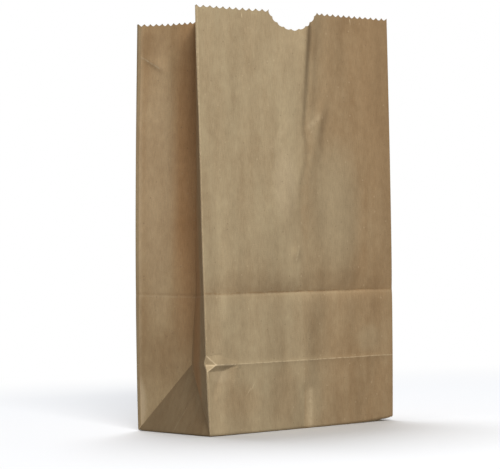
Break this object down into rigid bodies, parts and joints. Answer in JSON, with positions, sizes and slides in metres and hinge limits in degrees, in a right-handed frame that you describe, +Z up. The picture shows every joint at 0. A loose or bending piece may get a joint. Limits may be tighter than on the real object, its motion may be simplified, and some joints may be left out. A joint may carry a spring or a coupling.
{
  "type": "paper bag puppet blank",
  "caption": "Plain kraft paper bag with a square bottom, side gussets, a pinked mouth and a thumb notch, standing open as the blank for a hand puppet.",
  "frame": {"origin": "middle of the underside, on the surface the bag stands on", "axes": "+Z up through the open mouth, +X across the bag, -Y out through the front panel with the thumb notch"},
  "size_m": [0.1524, 0.0986, 0.2814],
  "materials": {
    "kraft_front": "matt unbleached kraft paper, fine vertical fibre streaks",
    "kraft_back": "matt unbleached kraft paper",
    "kraft_gusset": "matt unbleached kraft paper, softly wrinkled",
    "kraft_base": "matt unbleached kraft paper, creased",
    "paste": "dried starch paste"
  },
  "bodies": {
    "base": {"base_rear_flap": "kraft_base", "base_front_flap": "kraft_base", "base_paste": "paste", "base_left_tuck": "kraft_base", "base_right_tuck": "kraft_base"},
    "front_panel": {"front_panel_lower": "kraft_front", "front_panel_middle": "kraft_front", "front_panel_upper": "kraft_front"},
    "back_panel": {"back_left_leaf": "kraft_back", "back_right_leaf": "kraft_back", "back_seam_lap": "kraft_back", "back_seam_paste": "paste"},
    "left_gusset_base": {"left_gusset_base": "kraft_gusset"},
    "left_gusset_front_outer": {"left_gusset_front_outer": "kraft_gusset"},
    "left_gusset_front_inner": {"left_gusset_front_inner": "kraft_gusset"},
    "left_gusset_rear_outer": {"left_gusset_rear_outer": "kraft_gusset"},
    "left_gusset_rear_inner": {"left_gusset_rear_inner": "kraft_gusset"},
    "right_gusset_base": {"right_gusset_base": "kraft_gusset"},
    "right_gusset_front_outer": {"right_gusset_front_outer": "kraft_gusset"},
    "right_gusset_front_inner": {"right_gusset_front_inner": "kraft_gusset"},
    "right_gusset_rear_outer": {"right_gusset_rear_outer": "kraft_gusset"},
    "right_gusset_rear_inner": {"right_gusset_rear_inner": "kraft_gusset"}
  },
  "joints": [
    {"name": "mouth_close", "type": "hinge", "parent": "base", "child": "front_panel", "pos_m": [0, -0.046, 0.00045], "axis": [-1, 0, 0], "range_deg": [0, 6.5], "stiffness_Nm_per_rad": 0.3},
    {"name": "back_panel_lean", "type": "hinge", "parent": "base", "child": "back_panel", "pos_m": [0, 0.046, 0.00045], "axis": [1, 0, 0], "range_deg": [0, 6.6]},
    {"name": "left_base_crease_fold", "type": "hinge", "parent": "base", "child": "left_gusset_base", "pos_m": [-0.0762, 0, 0.00045], "axis": [0, 1, 0], "range_deg": [0, 13.46]},
    {"name": "left_front_edge_fold", "type": "hinge", "parent": "front_panel", "child": "left_gusset_front_outer", "pos_m": [-0.0762, -0.046, 0.00045], "axis": [0, 0.0227, -0.9997], "range_deg": [0, 12.44]},
    {"name": "left_front_pleat_fold", "type": "hinge", "parent": "left_gusset_front_outer", "child": "left_gusset_front_inner", "pos_m": [-0.0602, 0, 0.04358], "axis": [0.0656, 0.2146, -0.9745], "range_deg": [0, 40.88]},
    {"name": "left_rear_edge_fold", "type": "hinge", "parent": "back_panel", "child": "left_gusset_rear_outer", "pos_m": [-0.0762, 0.046, 0.00045], "axis": [0, -0.061, 0.9981], "range_deg": [0, 13.19]},
    {"name": "left_rear_pleat_fold", "type": "hinge", "parent": "left_gusset_rear_outer", "child": "left_gusset_rear_inner", "pos_m": [-0.0602, 0, 0.04358], "axis": [-0.0668, 0.1204, 0.9905], "range_deg": [0, 36.73]},
    {"name": "right_base_crease_fold", "type": "hinge", "parent": "base", "child": "right_gusset_base", "pos_m": [0.0762, 0, 0.00045], "axis": [0, -1, 0], "range_deg": [0, 13.46]},
    {"name": "right_front_edge_fold", "type": "hinge", "parent": "front_panel", "child": "right_gusset_front_outer", "pos_m": [0.0762, -0.046, 0.00045], "axis": [0, -0.0227, 0.9997], "range_deg": [0, 12.44]},
    {"name": "right_front_pleat_fold", "type": "hinge", "parent": "right_gusset_front_outer", "child": "right_gusset_front_inner", "pos_m": [0.0602, 0, 0.04358], "axis": [0.0656, -0.2146, 0.9745], "range_deg": [0, 40.88]},
    {"name": "right_rear_edge_fold", "type": "hinge", "parent": "back_panel", "child": "right_gusset_rear_outer", "pos_m": [0.0762, 0.046, 0.00045], "axis": [0, 0.061, -0.9981], "range_deg": [0, 13.19]},
    {"name": "right_rear_pleat_fold", "type": "hinge", "parent": "right_gusset_rear_outer", "child": "right_gusset_rear_inner", "pos_m": [0.0602, 0, 0.04358], "axis": [-0.0668, -0.1204, -0.9905], "range_deg": [0, 36.73]}
  ],
  "couplings": [
    {"joint": "back_panel_lean", "follows": "mouth_close", "ratio": 1},
    {"joint": "left_base_crease_fold", "follows": "mouth_close", "ratio": 2.055},
    {"joint": "left_front_edge_fold", "follows": "mouth_close", "ratio": 1.8987},
    {"joint": "left_front_pleat_fold", "follows": "mouth_close", "ratio": 6.2742},
    {"joint": "left_rear_edge_fold", "follows": "mouth_close", "ratio": 2.0139},
    {"joint": "left_rear_pleat_fold", "follows": "mouth_close", "ratio": 5.6356},
    {"joint": "right_base_crease_fold", "follows": "mouth_close", "ratio": 2.055},
    {"joint": "right_front_edge_fold", "follows": "mouth_close", "ratio": 1.8987},
    {"joint": "right_front_pleat_fold", "follows": "mouth_close", "ratio": 6.2742},
    {"joint": "right_rear_edge_fold", "follows": "mouth_close", "ratio": 2.0139},
    {"joint": "right_rear_pleat_fold", "follows": "mouth_close", "ratio": 5.6356}
  ]
}
